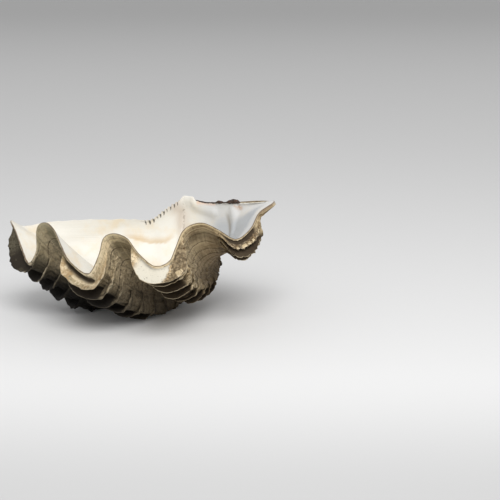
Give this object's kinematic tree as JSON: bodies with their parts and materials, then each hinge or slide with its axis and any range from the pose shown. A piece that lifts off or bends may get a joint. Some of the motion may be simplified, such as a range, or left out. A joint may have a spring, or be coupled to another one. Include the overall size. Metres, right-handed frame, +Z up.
{
  "type": "giant clam shell",
  "caption": "Half of a small giant clam's shell, lying hollow side up, with a deeply wavy rim and rows of scutes on its ribs.",
  "frame": {"origin": "on the floor, under the middle of the shell's box as it lies", "axes": "+X along the shell's length to the hinge's far tip, +Y toward the hinge and umbo, +Z up out of the hollow"},
  "size_m": [0.3186, 0.238, 0.1379],
  "materials": {
    "shell": "matt chalky outside, smooth and faintly glossy inside",
    "ligament": "dry and dark"
  },
  "bodies": {
    "root": {"valve": "shell", "ligament": "ligament"}
  },
  "joints": []
}
